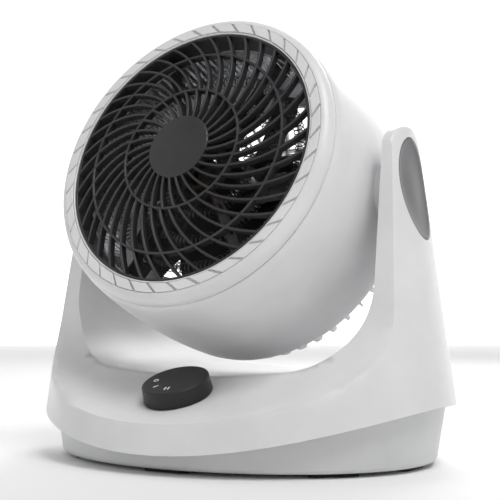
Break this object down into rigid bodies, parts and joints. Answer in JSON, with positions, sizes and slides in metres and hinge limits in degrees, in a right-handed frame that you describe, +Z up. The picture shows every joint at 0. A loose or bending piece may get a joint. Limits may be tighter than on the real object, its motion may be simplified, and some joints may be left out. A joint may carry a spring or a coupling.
{
  "type": "desk fan heater",
  "caption": "Tilting desk fan heater: a barrel-shaped head with a swirl grille hangs between the arms of a U-shaped oval base with a rotary switch on its sloping front.",
  "frame": {"origin": "on the table under the middle of the oval base, straight below the tilt axis", "axes": "+Z up, the front faces -Y, +X to the right as seen from the front; the tilt axis is parallel to X"},
  "size_m": [0.2848, 0.2157, 0.2831],
  "materials": {
    "white_abs": "satin moulded ABS",
    "black_pp": "fine-textured moulded polypropylene",
    "knob_black": "fine matt moulded",
    "mark_white": "pad printed",
    "grey_abs": "matt moulded",
    "rubber_grey": "matt",
    "nylon": "natural",
    "zinc_steel": "zinc plated",
    "bright_steel": "ground",
    "galvanised": "galvanised sheet",
    "lamination": "varnished steel laminations",
    "mica": "pressed mica board",
    "resistance_wire": "drawn wire",
    "bronze": "sintered",
    "switch_dark": "moulded thermoset"
  },
  "bodies": {
    "base": {"yoke_housing": "white_abs", "lower_tray": "white_abs", "rubber_feet": "rubber_grey", "tray_screws": "zinc_steel", "arm_cap_right": "grey_abs", "arm_cap_left": "grey_abs", "pivot_bush_right": "nylon", "pivot_bush_left": "nylon", "rotary_switch": "switch_dark", "tip_over_switch": "switch_dark", "terminal_block": "nylon", "cord_gland": "rubber_grey"},
    "knob": {"switch_spindle": "nylon", "control_knob": "knob_black", "knob_marks": "mark_white"},
    "head": {"pivot_pin_right": "zinc_steel", "pivot_pin_left": "zinc_steel", "pivot_washer_right": "nylon", "pivot_washer_left": "nylon", "pivot_nut_right": "zinc_steel", "pivot_nut_left": "zinc_steel", "barrel_housing": "white_abs", "front_trim_ring": "white_abs", "front_grille": "black_pp", "rear_grille": "white_abs", "rear_screws": "zinc_steel", "heater_frame": "mica", "heater_coils": "resistance_wire", "heat_shield": "galvanised", "shield_brackets": "galvanised", "thermal_cutout": "switch_dark", "thermal_fuse": "nylon", "motor_front_shell": "galvanised", "motor_rear_shell": "galvanised", "motor_mount": "galvanised", "motor_stator": "lamination", "front_bearing": "bronze", "rear_bearing": "bronze"},
    "fan": {"motor_rotor_core": "lamination", "motor_shaft": "bright_steel", "impeller": "black_pp", "shaft_nut": "zinc_steel"}
  },
  "joints": [
    {"name": "head_tilt", "type": "hinge", "parent": "base", "child": "head", "pos_m": [0, 0, 0.1686], "axis": [-1, 0, 0], "range_deg": [-30, 60]},
    {"name": "fan_spin", "type": "hinge", "parent": "head", "child": "fan", "pos_m": [0, 0, 0.1686], "axis": [0, -0.9455, 0.3256], "continuous": true},
    {"name": "knob_turn", "type": "hinge", "parent": "base", "child": "knob", "pos_m": [0, -0.0736, 0.0434], "axis": [0, 0.3746, -0.9272], "range_deg": [0, 90]}
  ]
}
